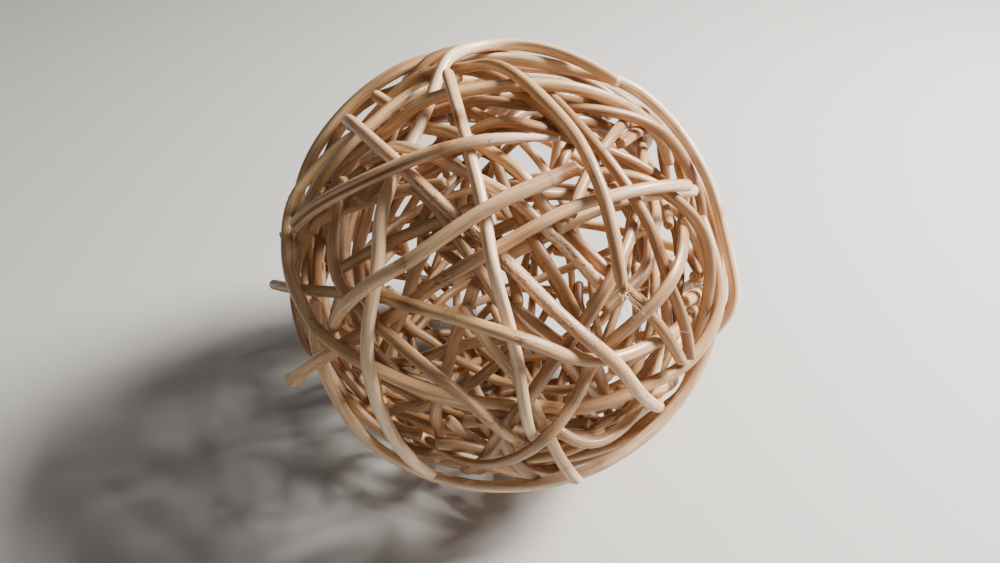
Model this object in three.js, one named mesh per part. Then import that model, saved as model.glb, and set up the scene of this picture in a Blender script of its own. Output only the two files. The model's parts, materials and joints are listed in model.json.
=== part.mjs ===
// A hollow decorative ball woven at random from peeled willow rods.
// Millimetres, +Z up. The ball rests on a small flat spot at z = 0, with its front towards -Y.
// Each rod is one solid. The rods pass over and under one another and nothing else holds them.
import * as THREE from "three";

const BALL_RADIUS = 60;
const ROD_THICKNESS = 2.9;
const ROD_GAP = 0.32; // clear space between two rods where they cross
const DEPTH_STEP = 3.2; // how far one rod lies beneath the one above it
const DEEPEST = 17; // how far beneath the outside the deepest rod may lie
const HOLLOW = [[-28.9, -28.4, -30.9], [31.7, 27.4, 26.6]]; // the space kept clear, from the ball's middle
const HOLLOW_MARGIN = 1.3; // how far from that space a rod is kept
const FLAT_DEPTH = 2.7; // how much of the ball's roundness the flat spot takes away
const PRESSED = 0.66; // height of a rod's middle above the flat spot, as a share of its half width
const ROD_SIDES = 6;
const RING_SPACING = 10.5;
const LAYING_STEPS = 24; // fine steps between two of a rod's stops
const ARC_STEPS = 4; // finer steps still, for measuring along its way
const TIP_PROUD = 4.5; // how far a rod's end may stand out of the ball

const FILLER_SEED = 37;
const FILLER_RODS = 24;
const FILLER_TRIES = 60;
const FILLER_ARC = [175, 285]; // shortest and longest arc of a filler rod, in degrees
const FILLER_BOW = 16; // how far a filler rod strays sideways from a great circle, in degrees
const FILLER_STOPS = 5;
const FILLER_DEPTH = 3.2; // the deepest a filler rod is laid, in rods
const FILLER_WANDER = 0.6; // how far its depth strays on the way, in rods
const FILLER_TUCK = 1.6; // how much deeper its ends are pushed in, in rods
const FILLER_THINNEST = 2.6;
const FILLER_SPREAD = 0.5; // how much thicker than that a filler rod may be
const FILLER_TAPER = 0.15; // the most its other end differs
const CROWD_REACH = 15; // rods closer together than this, in degrees, count as crowding

const GROWING_PASSES = 240; // the rods thicken from wires to their full width over these passes
const SETTLE_PASSES = 420;
const FIRM_PASSES = 400; // the last passes only part the rods
const PAIRING_PASSES = 12; // how often the near pairs are listed again
const MEETING_REACH = 3; // how many rods' width apart two segments may be and still be watched
const LAID_PULL = 0.1; // how strongly a laid rod is drawn back to its way in each pass
const FILLER_PULL = 0.03;
const FILLER_YIELDS = 0.65; // the share of a shortfall that a filler makes up when it meets a laid rod
const DEPTH_PULL = 0.04;
const SMOOTHING = 0.16;
const STEP_SHARE = 0.6; // how much of a shortfall is made up in one pass
const LONGEST_STEP = 0.5;
const CROSSING_SINE = 0.3; // rods at less than this slant to each other lie side by side
const CLEAR_ENOUGH = 1e-3; // the shortfall at which the rods have found room
const TINY = 1e-6;

const DEGREES = Math.PI / 180;

// Peeled willow runs from pale straw to brown, and some of it keeps flecks of bark.
const WOOD_TONES = { pale: 0xe2c8a2, honey: 0xc69a68, brown: 0xa07048, flecked: 0xd4b082 };
const FILLER_TONES = ["honey", "pale", "honey", "brown"];
const WOOD_ROUGHNESS = 0.6;

// Each rod that shows from the front, then the three that the ball stands on:
// its name, its wood, its thickness at both ends, and the places it passes on its way,
// as longitude from the front, latitude, and the number of rods it lies beneath.
const LAID_RODS = [
  [
    "upright_rod",
    "pale",
    2.9,
    2.6,
    [[-100, 77, -0.3], [-34, 73, 0], [-12, 62, 0.8], [1, 30, 1], [5, 12, 1], [9, -4, 0]],
  ],
  ["broad_slanting_rod", "pale", 2.8, 3.4, [[-46, 14, 1], [-19, 42, 0], [8, 56, 0], [31, 58, 0]]],
  [
    "long_slanting_rod",
    "pale",
    3.4,
    2.7,
    [[-58, -8, -1.5], [-46, 7, 1], [-33, 21, 2], [-15, 39, 2], [20, 52, 2], [47, 50, 1], [70, 39, 0]],
  ],
  ["split_rod", "pale", 3.0, 2.7, [[-72, 26, 0], [-49, 49, 0], [-23, 64, 0], [34, 67, 1]]],
  [
    "flecked_rod",
    "flecked",
    3.1,
    2.9,
    [[-108, 42, 0], [-52, 57, 1], [1, 41, 2.6], [26, 11, 0], [50, -19, 0]],
  ],
  [
    "level_rod",
    "honey",
    2.7,
    3.0,
    [
      [-75, 7, -0.6],
      [-49, 22, 2],
      [-28, 30, 1],
      [-2, 29, 0],
      [22, 18, 1],
      [36, 16, 0.6],
      [47, 11, 1.9],
      [58, 5, 2],
      [70, 2, 1.6],
    ],
  ],
  [
    "splintered_rod",
    "honey",
    2.8,
    2.8,
    [[-105, 46, 2], [-143, 70, 1], [39, 80, 0], [33, 57, 0], [29, 31, 0]],
  ],
  [
    "crown_and_side_hoop",
    "pale",
    2.8,
    3.1,
    [
      [106, 62, 0],
      [-171, 66, 0],
      [-92, 74, 0.9],
      [-68, 62, 2.6],
      [-40, 42, 1.2],
      [-34, 22, 1],
      [-29, 3, 0],
      [-20, -27, 0],
    ],
  ],
  [
    "left_hoop",
    "honey",
    2.9,
    2.8,
    [[-105, 50, 2], [-94, 30, 1], [-74, 19, 0], [-50, 14, 0], [-28, 9, 1], [0, 5, 2], [17, 0, 2]],
  ],
  [
    "lower_left_rod",
    "honey",
    2.6,
    2.7,
    [[-66, 40, 2], [-48, 25, 1], [-32, 20, 2], [-17, 19, 0], [-8, 14, 0], [5, -3, 1]],
  ],
  [
    "cross_front_rod",
    "pale",
    2.6,
    2.7,
    [[-88, 46, 2], [-40, 63, 1], [-2, 58, 2], [19, 44, 2], [30, 30, 2]],
  ],
  [
    "right_slanting_rod",
    "brown",
    2.8,
    3.0,
    [[54, 43, 3], [34, 36, 2], [18, 25, 1], [7, 10, 1], [-2, -8, 1], [-12, -34, 1]],
  ],
  [
    "flat_right_rod",
    "brown",
    3.1,
    2.8,
    [[64, 32, 1], [40, 27, 0], [24, 13, 2], [10, 0, 0], [-3, -12, 0], [-24, -24, 2]],
  ],
  [
    "lower_right_hoop",
    "brown",
    2.8,
    3.1,
    [[84, 22, 2], [63, 6, 0], [50, 1, 0], [34, 4, 1], [20, -1, 2], [-10, -8, 3]],
  ],
  ["scooping_rod", "honey", 2.8, 2.7, [[9, -3, 1], [16, -7, 0], [26, -11, 0], [36, -9, 1], [54, 4, 3]]],
  [
    "foot_hoop",
    "pale",
    3.0,
    2.9,
    [
      [-60, 12, 2],
      [-47, -5, 0],
      [-34, -26, 0],
      [-6, -33, 0],
      [22, -27, 0],
      [46, -19, 0],
      [66, -2, 0],
      [84, 24, 2],
    ],
  ],
  [
    "right_hoop",
    "pale",
    3.0,
    3.0,
    [
      [-122, 50, 2],
      [-154, 63, 1],
      [139, 72, 1],
      [117, 50, 0],
      [92, 30, 0],
      [83, 18, 0.3],
      [77, 6, -0.9],
      [72, -4, -0.5],
      [65, -14, 1.5],
    ],
  ],
  [
    "upper_hoop",
    "honey",
    2.7,
    2.9,
    [[-86, 36, 2], [-79, 60, 1], [-60, 84, 1], [85, 74, 1], [100, 50, 1], [102, 32, 2]],
  ],
  [
    "right_inner_rod",
    "brown",
    2.5,
    2.7,
    [[150, 78, 2], [50, 68, 1], [50, 53, 2], [50, 42, 1], [45, 31, 1], [49, 20, 1], [48, 6, 0.2]],
  ],
  [
    "right_edge_rod",
    "brown",
    2.8,
    2.8,
    [[50, 58, 3], [67, 42, 2], [67, 29, 0], [67, 14, 0], [60, -8, 1]],
  ],
  [
    "right_back_rod",
    "brown",
    2.7,
    2.6,
    [[128, 36, 2], [93, 46, 2], [70, 48, 3], [48, 41, 3], [26, 26, 3]],
  ],
  ["short_light_rod", "pale", 2.8, 3.1, [[-16, 36, 3], [14, 46, 3], [44, 51, 3], [81, 33, 1]]],
  ["right_low_rod", "brown", 2.5, 2.6, [[24, 50, 3.6], [36, 28, 2.6], [40, 19, 1], [44, 7, 0.3]]],
  [
    "inner_front_rod",
    "brown",
    2.6,
    2.6,
    [[-10, 72, 3], [8, 49, 3], [17, 33, 2], [26, 14, 3], [28, 0, 2]],
  ],
  ["deep_front_rod", "brown", 2.5, 2.5, [[-40, 46, 4], [3, 31, 4], [30, 2, 4]]],
  ["brown_left_rod", "brown", 2.7, 2.6, [[-52, 27, 2], [-20, 50, 2], [12, 58, 3], [44, 54, 4]]],
  ["lower_brown_rod", "brown", 2.7, 2.7, [[-66, 3, 1], [-23, 8, 2], [11, -5, 2], [34, -24, 2]]],
  [
    "upper_left_rod",
    "honey",
    2.9,
    2.7,
    [[-150, 64, 2], [-90, 64, 1], [-76, 46, 1], [-79, 26, 1], [-88, 4, 1]],
  ],
  ["bottom_end_rod", "pale", 2.6, 3.0, [[-12, 30, 3], [3, 10, 2], [9, -2, 1.1], [17, -16, -1.1]]],
  [
    "left_outer_rod",
    "honey",
    3.0,
    2.8,
    [[180, 52, 1], [-132, 62, 0], [-109, 44, 0], [-92, 20, 0], [-84, -8, 2]],
  ],
  ["left_end_rod", "honey", 2.8, 2.6, [[-81, 17, -0.8], [-72, 30, 2], [-58, 45, 3], [-28, 60, 3]]],
  [
    "lower_left_edge_rod",
    "honey",
    2.8,
    2.7,
    [[-84, 8, 2], [-52, -8, 1], [-32, -20, 1], [-8, -32, 1], [20, -44, 1]],
  ],
  [
    "middle_foot_rod",
    "honey",
    3.0,
    2.9,
    [[-97, -30, 1], [-96, -60, 0], [0, -90, 0], [83, -60, 0], [82, -26, 1]],
  ],
  [
    "front_foot_rod",
    "honey",
    2.9,
    2.8,
    [[-62, -36, 1], [-46, -66, 0], [2, -81, 0], [50, -65, 0], [66, -34, 1]],
  ],
  [
    "back_foot_rod",
    "honey",
    2.9,
    3.0,
    [[-124, -34, 1], [-138, -64, 0], [176, -81, 0], [132, -66, 0], [118, -30, 1]],
  ],
];

/** A repeatable source of numbers from 0 to 1. */
function seededRandom(seed) {
  const [multiplier, increment, range] = [1664525, 1013904223, 2 ** 32];
  let state = seed;
  return () => {
    state = (Math.imul(state, multiplier) + increment) >>> 0;
    return state / range;
  };
}

/** The direction from the ball's middle towards a longitude and latitude in degrees. */
function direction(longitude, latitude) {
  const level = Math.cos(latitude * DEGREES);
  return new THREE.Vector3(
    level * Math.sin(longitude * DEGREES),
    -level * Math.cos(longitude * DEGREES),
    Math.sin(latitude * DEGREES),
  );
}

/** The distance from the ball's middle of a rod that lies beneath so many others. */
function radiusAtDepth(depth) {
  return BALL_RADIUS - ROD_THICKNESS / 2 - depth * DEPTH_STEP;
}

/** Evenly spaced points along a rod's way over the ball. */
function pathOf(stops) {
  const heading = new THREE.CatmullRomCurve3(
    stops.map((stop) => stop.towards),
    false,
    "centripetal",
  );
  const fine = [];
  const steps = (stops.length - 1) * LAYING_STEPS;
  for (let step = 0; step <= steps; step += 1) {
    const along = (step / steps) * (stops.length - 1);
    const before = Math.min(Math.floor(along), stops.length - 2);
    const share = along - before;
    const ease = share * share * (3 - 2 * share);
    const depth = THREE.MathUtils.lerp(stops[before].depth, stops[before + 1].depth, ease);
    fine.push(heading.getPoint(step / steps).normalize().multiplyScalar(radiusAtDepth(depth)));
  }
  const smooth = new THREE.CatmullRomCurve3(fine, false, "centripetal");
  smooth.arcLengthDivisions = steps * ARC_STEPS;
  return smooth.getSpacedPoints(Math.max(3, Math.round(smooth.getLength() / RING_SPACING)));
}

/** A rod before settling: its points, their first places and its half width at each. */
function layRod(name, tone, startThickness, endThickness, stops, isFiller = false) {
  const points = pathOf(stops);
  const last = points.length - 1;
  return {
    name,
    tone,
    isFiller,
    points,
    homes: points.map((point) => point.clone()),
    spacing: points[0].distanceTo(points[1]),
    reaches: points.map(
      (point, index) => THREE.MathUtils.lerp(startThickness, endThickness, index / last) / 2,
    ),
  };
}

/** How crowded a way over the ball already is: the nearer the other rods run, the higher. */
function crowding(headings, taken) {
  const reach = Math.cos(CROWD_REACH * DEGREES);
  let sum = 0;
  headings.forEach((heading) => {
    taken.forEach((other) => {
      const nearness = heading.dot(other);
      if (nearness > reach) {
        sum += (nearness - reach) / (1 - reach);
      }
    });
  });
  return sum / headings.length;
}

/** The stops of one chance arc over the ball. */
function chanceStops(random) {
  const height = 2 * random() - 1;
  const middle = direction(360 * random(), Math.asin(height) / DEGREES);
  const chance = new THREE.Vector3(random() - 0.5, random() - 0.5, random() - 0.5);
  const sideways = chance.cross(middle).normalize();
  const axis = new THREE.Vector3().crossVectors(middle, sideways);
  const arc = THREE.MathUtils.lerp(FILLER_ARC[0], FILLER_ARC[1], random()) * DEGREES;
  const bow = (2 * random() - 1) * FILLER_BOW * DEGREES;
  const depth = FILLER_DEPTH * random();
  const stops = [];
  for (let index = 0; index < FILLER_STOPS; index += 1) {
    const share = index / (FILLER_STOPS - 1);
    const towards = middle.clone().applyAxisAngle(axis, (share - 0.5) * arc);
    towards.addScaledVector(axis, Math.sin(share * Math.PI) * Math.tan(bow)).normalize();
    const tuck = index === 0 || index === FILLER_STOPS - 1 ? FILLER_TUCK : 0;
    stops.push({ towards, depth: Math.max(0, depth + FILLER_WANDER * (2 * random() - 1)) + tuck });
  }
  return stops;
}

/** The filler rods: each takes the least crowded of many chance arcs. */
function layFillers(laid) {
  const random = seededRandom(FILLER_SEED);
  const taken = laid.flatMap((rod) => rod.points.map((point) => point.clone().normalize()));
  const fillers = [];
  for (let index = 0; index < FILLER_RODS; index += 1) {
    let best = null;
    for (let attempt = 0; attempt < FILLER_TRIES; attempt += 1) {
      const stops = chanceStops(random);
      const headings = pathOf(stops).map((point) => point.normalize());
      const crowd = crowding(headings, taken);
      if (best === null || crowd < best.crowd) {
        best = { stops, headings, crowd };
      }
    }
    const thickness = FILLER_THINNEST + FILLER_SPREAD * random();
    const taper = FILLER_TAPER * (2 * random() - 1);
    const name = `woven_rod_${String(index + 1).padStart(2, "0")}`;
    const tone = FILLER_TONES[index % FILLER_TONES.length];
    fillers.push(layRod(name, tone, thickness, thickness + taper, best.stops, true));
    taken.push(...best.headings);
  }
  return fillers;
}

/** Where two segments come nearest: the shares along each, and the vector from the second to the first. */
function nearest(a0, a1, b0, b1) {
  const u = new THREE.Vector3().subVectors(a1, a0);
  const v = new THREE.Vector3().subVectors(b1, b0);
  const w = new THREE.Vector3().subVectors(a0, b0);
  const uu = u.dot(u);
  const uv = u.dot(v);
  const vv = v.dot(v);
  const uw = u.dot(w);
  const vw = v.dot(w);
  const spread = uu * vv - uv * uv;
  let s = spread > TINY ? THREE.MathUtils.clamp((uv * vw - vv * uw) / spread, 0, 1) : 0.5;
  const t = THREE.MathUtils.clamp((uv * s + vw) / vv, 0, 1);
  s = THREE.MathUtils.clamp((uv * t - uw) / uu, 0, 1);
  const apart = w.addScaledVector(u, s).addScaledVector(v, -t);
  return { s, t, apart, sine: Math.sqrt(Math.max(spread, 0) / (uu * vv)) };
}

/** The pairs of segments of different rods that are near enough to meet. */
function nearPairs(rods) {
  const segments = rods.flatMap((rod, owner) =>
    rod.points.slice(1).map((end, index) => ({
      rod,
      owner,
      index,
      middle: new THREE.Vector3().addVectors(rod.points[index], end).multiplyScalar(0.5),
    })),
  );
  const reach = RING_SPACING + MEETING_REACH * ROD_THICKNESS;
  const pairs = [];
  segments.forEach((a, place) => {
    for (let other = place + 1; other < segments.length; other += 1) {
      const b = segments[other];
      if (a.owner !== b.owner && a.middle.distanceToSquared(b.middle) < reach * reach) {
        pairs.push([a, b]);
      }
    }
  });
  return pairs;
}

/** Moves the two ends of a segment so that the place between them moves by the given step. */
function shift(rod, index, share, step, amount) {
  const weight = (1 - share) * (1 - share) + share * share;
  rod.points[index].addScaledVector(step, (amount * (1 - share)) / weight);
  rod.points[index + 1].addScaledVector(step, (amount * share) / weight);
}

/** The share of a shortfall that the first of two rods makes up. */
function yieldingShare(first, second) {
  if (first.isFiller === second.isFiller) {
    return 0.5;
  }
  return first.isFiller ? FILLER_YIELDS : 1 - FILLER_YIELDS;
}

/** Parts one pair of segments if it is too close, keeping the upper rod on top, and returns the shortfall. */
function part(a, b, growth) {
  const [a0, a1] = [a.rod.points[a.index], a.rod.points[a.index + 1]];
  const [b0, b1] = [b.rod.points[b.index], b.rod.points[b.index + 1]];
  const { s, t, apart, sine } = nearest(a0, a1, b0, b1);
  const reachOfA = THREE.MathUtils.lerp(a.rod.reaches[a.index], a.rod.reaches[a.index + 1], s);
  const reachOfB = THREE.MathUtils.lerp(b.rod.reaches[b.index], b.rod.reaches[b.index + 1], t);
  const wanted = growth * (reachOfA + reachOfB + ROD_GAP);
  const distance = apart.length();
  const homeOfA = new THREE.Vector3().lerpVectors(a.rod.homes[a.index], a.rod.homes[a.index + 1], s).length();
  const homeOfB = new THREE.Vector3().lerpVectors(b.rod.homes[b.index], b.rod.homes[b.index + 1], t).length();
  const outwards = new THREE.Vector3().lerpVectors(a0, a1, s).normalize();
  if (homeOfA < homeOfB || (homeOfA === homeOfB && a.owner > b.owner)) {
    outwards.negate();
  }
  const inside = s > 0 && s < 1 && t > 0 && t < 1;
  const wrongWay = inside && sine > CROSSING_SINE && apart.dot(outwards) < 0;
  const shortfall = wrongWay ? wanted + distance : wanted - distance;
  if (shortfall <= 0) {
    return 0;
  }
  const step = wrongWay || distance < TINY ? outwards : apart.multiplyScalar(1 / distance);
  const amount = Math.min(STEP_SHARE * shortfall, LONGEST_STEP);
  const shareOfA = yieldingShare(a.rod, b.rod);
  shift(a.rod, a.index, s, step, shareOfA * amount);
  shift(b.rod, b.index, t, step, (shareOfA - 1) * amount);
  return shortfall;
}

/** Eases a rod towards a smooth curve near its first place. */
function ease(rod) {
  const last = rod.points.length - 1;
  const pull = rod.isFiller ? FILLER_PULL : LAID_PULL;
  const before = rod.points.map((point) => point.clone());
  rod.points.forEach((point, index) => {
    const home = rod.homes[index];
    const homeRadius = home.length();
    point.lerp(home.clone().setLength(point.length()), pull);
    point.setLength(THREE.MathUtils.lerp(point.length(), homeRadius, DEPTH_PULL));
    if (index > 0 && index < last) {
      const between = new THREE.Vector3().addVectors(before[index - 1], before[index + 1]);
      const evenRadius = (before[index - 1].length() + before[index + 1].length()) / 2;
      point.lerp(between.setLength(evenRadius), SMOOTHING);
    }
  });
}

/** Brings each step of a rod back to its length. */
function keepLength(rod) {
  for (let index = 1; index < rod.points.length; index += 1) {
    const step = new THREE.Vector3().subVectors(rod.points[index], rod.points[index - 1]);
    const excess = step.length() - rod.spacing;
    step.setLength(excess / 2);
    rod.points[index - 1].add(step);
    rod.points[index].sub(step);
  }
}

/** Keeps a rod within the ball's outside, its inside and the flat spot. */
function keepInBall(rod) {
  rod.points.forEach((point, index) => {
    const reach = rod.reaches[index];
    const proud = rod.homes[index].length() > radiusAtDepth(0) + 0.1 ? TIP_PROUD : 0;
    point.clampLength(BALL_RADIUS - reach - DEEPEST, BALL_RADIUS - reach + proud);
    point.z = Math.max(point.z, FLAT_DEPTH - BALL_RADIUS + reach * PRESSED);
  });
}

/** Keeps a rod out of the clear space inside the ball. */
function keepOutOfHollow(rod, hollow) {
  const place = new THREE.Vector3();
  const wall = new THREE.Vector3();
  for (let index = 0; index < rod.points.length - 1; index += 1) {
    for (let quarter = 0; quarter <= 4; quarter += 1) {
      const share = quarter / 4;
      place.lerpVectors(rod.points[index], rod.points[index + 1], share);
      hollow.clampPoint(place, wall);
      const shortfall = rod.reaches[index] + HOLLOW_MARGIN - place.distanceTo(wall);
      if (shortfall > 0) {
        shift(rod, index, share, place.normalize(), Math.min(shortfall, LONGEST_STEP));
      }
    }
  }
}

/** Lets all the rods find room: over or under each other, and none through another. */
function settle(rods) {
  const hollow = new THREE.Box3(...HOLLOW.map((corner) => new THREE.Vector3(...corner)));
  let pairs = [];
  for (let pass = 0; pass < SETTLE_PASSES + FIRM_PASSES; pass += 1) {
    if (pass % PAIRING_PASSES === 0) {
      pairs = nearPairs(rods);
    }
    const growth = Math.min(1, pass / GROWING_PASSES);
    if (pass < SETTLE_PASSES) {
      rods.forEach(ease);
      rods.forEach(keepLength);
    }
    rods.forEach(keepInBall);
    rods.forEach((rod) => keepOutOfHollow(rod, hollow));
    const worst = pairs.reduce((most, [a, b]) => Math.max(most, part(a, b, growth)), 0);
    if (pass >= SETTLE_PASSES && worst < CLEAR_ENOUGH) {
      break;
    }
  }
}

/** The six-sided solid of a settled rod, pressed flat where it meets the ground. */
function rodGeometry(rod) {
  const positions = [];
  const faces = [];
  const last = rod.points.length - 1;
  rod.points.forEach((point, index) => {
    const ahead = rod.points[Math.min(index + 1, last)];
    const behind = rod.points[Math.max(index - 1, 0)];
    const along = new THREE.Vector3().subVectors(ahead, behind).normalize();
    const outwards = point.clone().addScaledVector(along, -point.dot(along)).normalize();
    const sideways = new THREE.Vector3().crossVectors(along, outwards);
    for (let side = 0; side < ROD_SIDES; side += 1) {
      const turn = ((side + 0.5) / ROD_SIDES) * 2 * Math.PI;
      const corner = point
        .clone()
        .addScaledVector(outwards, Math.cos(turn) * rod.reaches[index])
        .addScaledVector(sideways, Math.sin(turn) * rod.reaches[index]);
      positions.push(corner.x, corner.y, Math.max(corner.z, FLAT_DEPTH - BALL_RADIUS));
    }
  });
  for (let ring = 0; ring < last; ring += 1) {
    for (let side = 0; side < ROD_SIDES; side += 1) {
      const next = (side + 1) % ROD_SIDES;
      const [a, b] = [ring * ROD_SIDES + side, ring * ROD_SIDES + next];
      faces.push(a, b, b + ROD_SIDES, a, b + ROD_SIDES, a + ROD_SIDES);
    }
  }
  for (let side = 1; side < ROD_SIDES - 1; side += 1) {
    faces.push(0, side + 1, side);
    faces.push(last * ROD_SIDES, last * ROD_SIDES + side, last * ROD_SIDES + side + 1);
  }
  const geometry = new THREE.BufferGeometry();
  geometry.setAttribute("position", new THREE.Float32BufferAttribute(positions, 3));
  geometry.setIndex(faces);
  return geometry;
}

/** The wood of a rod. */
function rodMaterial(tone) {
  return new THREE.MeshStandardMaterial({
    color: WOOD_TONES[tone],
    roughness: WOOD_ROUGHNESS,
    metalness: 0,
  });
}

/** The whole ball, centred over the origin and standing on its flat spot. */
function buildBall() {
  const laid = LAID_RODS.map(([name, tone, startThickness, endThickness, places]) =>
    layRod(
      name,
      tone,
      startThickness,
      endThickness,
      places.map(([longitude, latitude, depth]) => ({ towards: direction(longitude, latitude), depth })),
    ),
  );
  const rods = [...laid, ...layFillers(laid)];
  settle(rods);
  const geometries = rods.map(rodGeometry);
  const box = new THREE.Box3();
  geometries.forEach((geometry) => {
    geometry.computeBoundingBox();
    box.union(geometry.boundingBox);
  });
  const middle = box.getCenter(new THREE.Vector3());
  const ball = new THREE.Group();
  ball.name = "woven_ball";
  geometries.forEach((geometry, index) => {
    geometry.translate(-middle.x, -middle.y, -box.min.z);
    geometry.computeVertexNormals();
    const mesh = new THREE.Mesh(geometry, rodMaterial(rods[index].tone));
    mesh.name = rods[index].name;
    ball.add(mesh);
  });
  return ball;
}

export default buildBall();
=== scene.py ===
"""A decorative ball woven at random from peeled willow rods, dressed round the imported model.

Every packed rod is read back as a way: the line down its middle and its thickness. A straight
willow stick is modelled once, cut and pithed at its ends, then copied, given its own swellings,
flats and ends, and bent along each way. Shorter inner rods, laid and settled among the packed
ones, close the wall of the ball as the real one's do.
"""

import json
import logging
import math
from dataclasses import dataclass, field
from enum import Enum
from functools import partial
from typing import Any, Callable

import bmesh
import bpy
import numpy as np
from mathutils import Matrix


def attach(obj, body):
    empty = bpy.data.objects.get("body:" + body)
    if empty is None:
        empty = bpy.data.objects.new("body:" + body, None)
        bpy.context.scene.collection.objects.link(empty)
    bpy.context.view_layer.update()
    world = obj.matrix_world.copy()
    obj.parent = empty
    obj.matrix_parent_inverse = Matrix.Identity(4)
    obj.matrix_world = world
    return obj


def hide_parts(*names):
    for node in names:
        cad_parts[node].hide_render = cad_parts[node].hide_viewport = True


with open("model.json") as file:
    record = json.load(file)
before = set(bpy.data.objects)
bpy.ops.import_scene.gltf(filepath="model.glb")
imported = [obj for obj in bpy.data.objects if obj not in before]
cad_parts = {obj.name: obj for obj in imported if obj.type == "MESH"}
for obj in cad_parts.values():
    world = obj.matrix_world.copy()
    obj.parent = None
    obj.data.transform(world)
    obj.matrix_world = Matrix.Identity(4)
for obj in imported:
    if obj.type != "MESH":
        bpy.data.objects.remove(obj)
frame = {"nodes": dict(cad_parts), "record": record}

log = logging.getLogger("willow_ball")
Colour = tuple[float, float, float, float]

MM = 0.001  # one millimetre in scene units
BODY = "root"
BALL_RADIUS = 60.0
FLAT_DEPTH = 2.7  # how much of the round the flat spot underneath takes away
BALL_MIDDLE = np.array([0.0, 0.0, BALL_RADIUS - FLAT_DEPTH])
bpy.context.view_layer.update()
RING_MATES_MM = 3.0  # the corners of one ring of a packed rod lie closer together than this
CURVE_STEP_MM = 0.8  # how far apart the points of a rod's smooth way lie
MEETING_MM = 16.0  # segments with their middles closer than this may meet
MOST_CUTS = 13  # a long edge is parted into at most this many at a time


def linear(hex_colour: str) -> Colour:
    """Turns an sRGB colour into the linear one that shaders take.

    Args:
        hex_colour: the colour as six hex digits.

    Returns:
        Linear red, green, blue and an alpha of one.
    """
    parts = [int(hex_colour[place : place + 2], 16) / 255 for place in (0, 2, 4)]
    red, green, blue = (
        part / 12.92 if part <= 0.04045 else ((part + 0.055) / 1.055) ** 2.4
        for part in parts
    )
    return (red, green, blue, 1.0)


def add_node(
    tree: bpy.types.NodeTree, kind: str, inputs: dict[Any, Any], **settings: Any
) -> bpy.types.Node:
    """Adds one shader node.

    Args:
        tree: the node tree it goes in.
        kind: the node's type name, less the word ShaderNode that all of them begin with.
        inputs: its sockets by name or place, each with a value, the socket to link from, or the
            node whose first output it takes.
        settings: its properties and their values.

    Returns:
        The new node.
    """
    node = tree.nodes.new("ShaderNode" + kind)
    for name, value in settings.items():
        setattr(node, name, value)
    for name, value in inputs.items():
        source = value.outputs[0] if isinstance(value, bpy.types.Node) else value
        if isinstance(source, bpy.types.NodeSocket):
            tree.links.new(source, node.inputs[name])
        else:
            node.inputs[name].default_value = source
    return node


def start_material(name: str) -> tuple[bpy.types.Material, Callable[..., bpy.types.Node]]:
    """Starts an empty material.

    Args:
        name: its name.

    Returns:
        The material, and the function that adds a node to it.
    """
    made = bpy.data.materials.new(name)
    made.use_nodes = True
    made.node_tree.nodes.clear()
    return made, partial(add_node, made.node_tree)


def set_stops(ramp: bpy.types.Node, *stops: tuple[float, Colour]) -> None:
    """Sets the stops of a colour ramp.

    Args:
        ramp: the ramp's node.
        stops: the place and colour of each stop, from the first to the last.
    """
    elements = ramp.color_ramp.elements
    for _ in stops[2:]:
        elements.new(0.5)
    for element, (place, colour) in zip(elements, stops):
        element.position = place
        element.color = colour


def part_long_edges(shape: bpy.types.Object, cuts: int) -> None:
    """Cuts across all the edges of a shape that run up it.

    Args:
        shape: the shape, in edit mode.
        cuts: how many cuts each edge gets.
    """
    bpy.ops.mesh.select_mode(type="EDGE")
    bpy.ops.mesh.select_all(action="DESELECT")
    for edge in bmesh.from_edit_mesh(shape.data).edges:
        edge.select = abs(edge.verts[0].co.z - edge.verts[1].co.z) > 0.5
    bmesh.update_edit_mesh(shape.data)
    bpy.ops.mesh.subdivide(number_cuts=cuts)


def write_places(mesh: bpy.types.Mesh, places: np.ndarray) -> None:
    """Writes each corner's place on the straight stick, in millimetres, for the materials."""
    layer = mesh.attributes.new("stick_mm", "FLOAT_VECTOR", "POINT")
    layer.data.foreach_set("vector", places.astype(np.float32).ravel())


def place_piece(name: str, mesh: bpy.types.Mesh) -> bpy.types.Object:
    """Places a finished piece in the scene.

    Args:
        name: the piece's name.
        mesh: its mesh, in the ball's own place.

    Returns:
        The piece.
    """
    piece = bpy.data.objects.new(name, mesh)
    bpy.context.scene.collection.objects.link(piece)
    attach(piece, BODY)
    return piece


class EndCut(Enum):
    """How a rod's end was left."""

    SAWN = "sawn"
    ROUNDED = "rounded"
    SLANTED = "slanted"
    POINTED = "pointed"
    BROKEN = "broken"


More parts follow.
